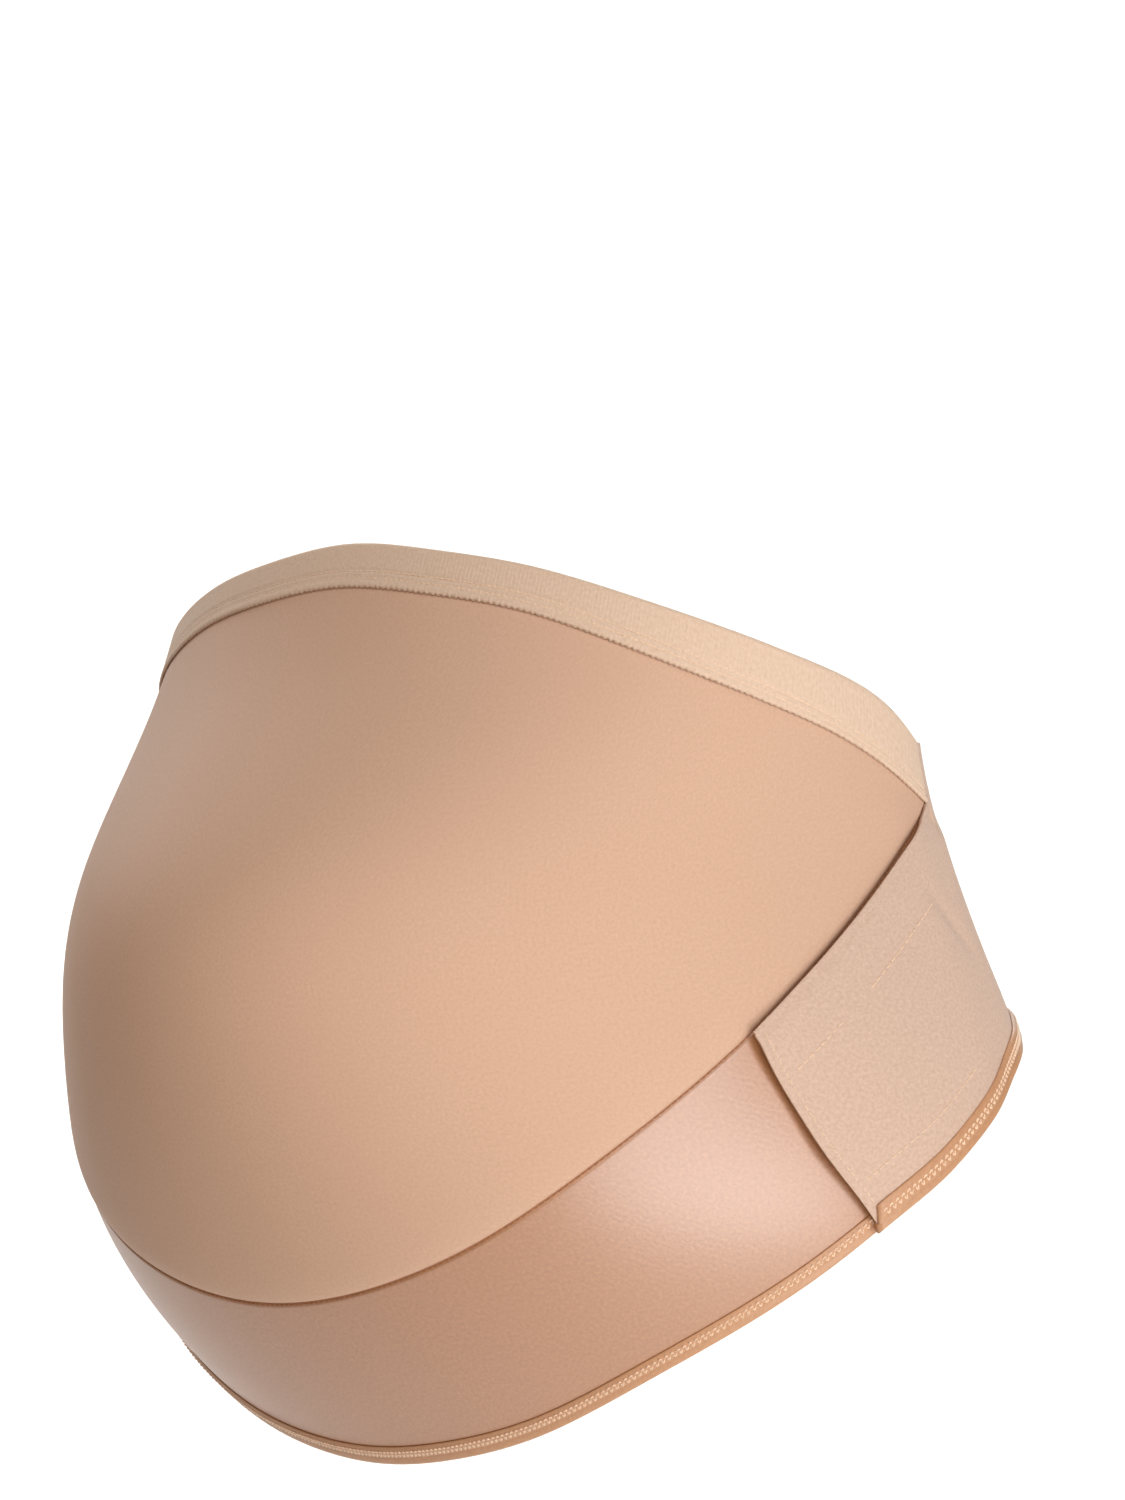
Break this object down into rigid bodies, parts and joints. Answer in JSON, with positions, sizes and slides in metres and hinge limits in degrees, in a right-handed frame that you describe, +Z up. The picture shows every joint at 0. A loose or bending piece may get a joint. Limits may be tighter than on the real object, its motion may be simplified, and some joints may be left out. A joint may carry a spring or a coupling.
{
  "type": "maternity support belt",
  "caption": "Worn maternity support belt: smooth belly panel, elastic waistband, satin front band and a back wing that laps over the hip.",
  "frame": {"origin": "on the wearer's axis, 180.5 mm above the front hem's lowest point, level with the back panel, where the belt sits at the back of the waist", "axes": "+Z up the wearer's body, -Y out of the front of the belly, +X towards the wearer's left hip, where the wing closes"},
  "size_m": [0.3477, 0.3249, 0.3146],
  "materials": {
    "microfibre": "smooth matte microfibre knit",
    "waist_elastic": "matte plush elastic",
    "satin_elastic": "satin",
    "hem_elastic": "satin folded elastic",
    "brushed_loop": "matte brushed loop fabric",
    "hook_tape": "matte hook tape"
  },
  "bodies": {
    "root": {"belly_panel": "microfibre", "waistband": "waist_elastic", "front_band": "satin_elastic", "front_hem": "hem_elastic", "back_wing": "brushed_loop", "back_hem": "hem_elastic", "hook_tape": "hook_tape"}
  },
  "joints": []
}
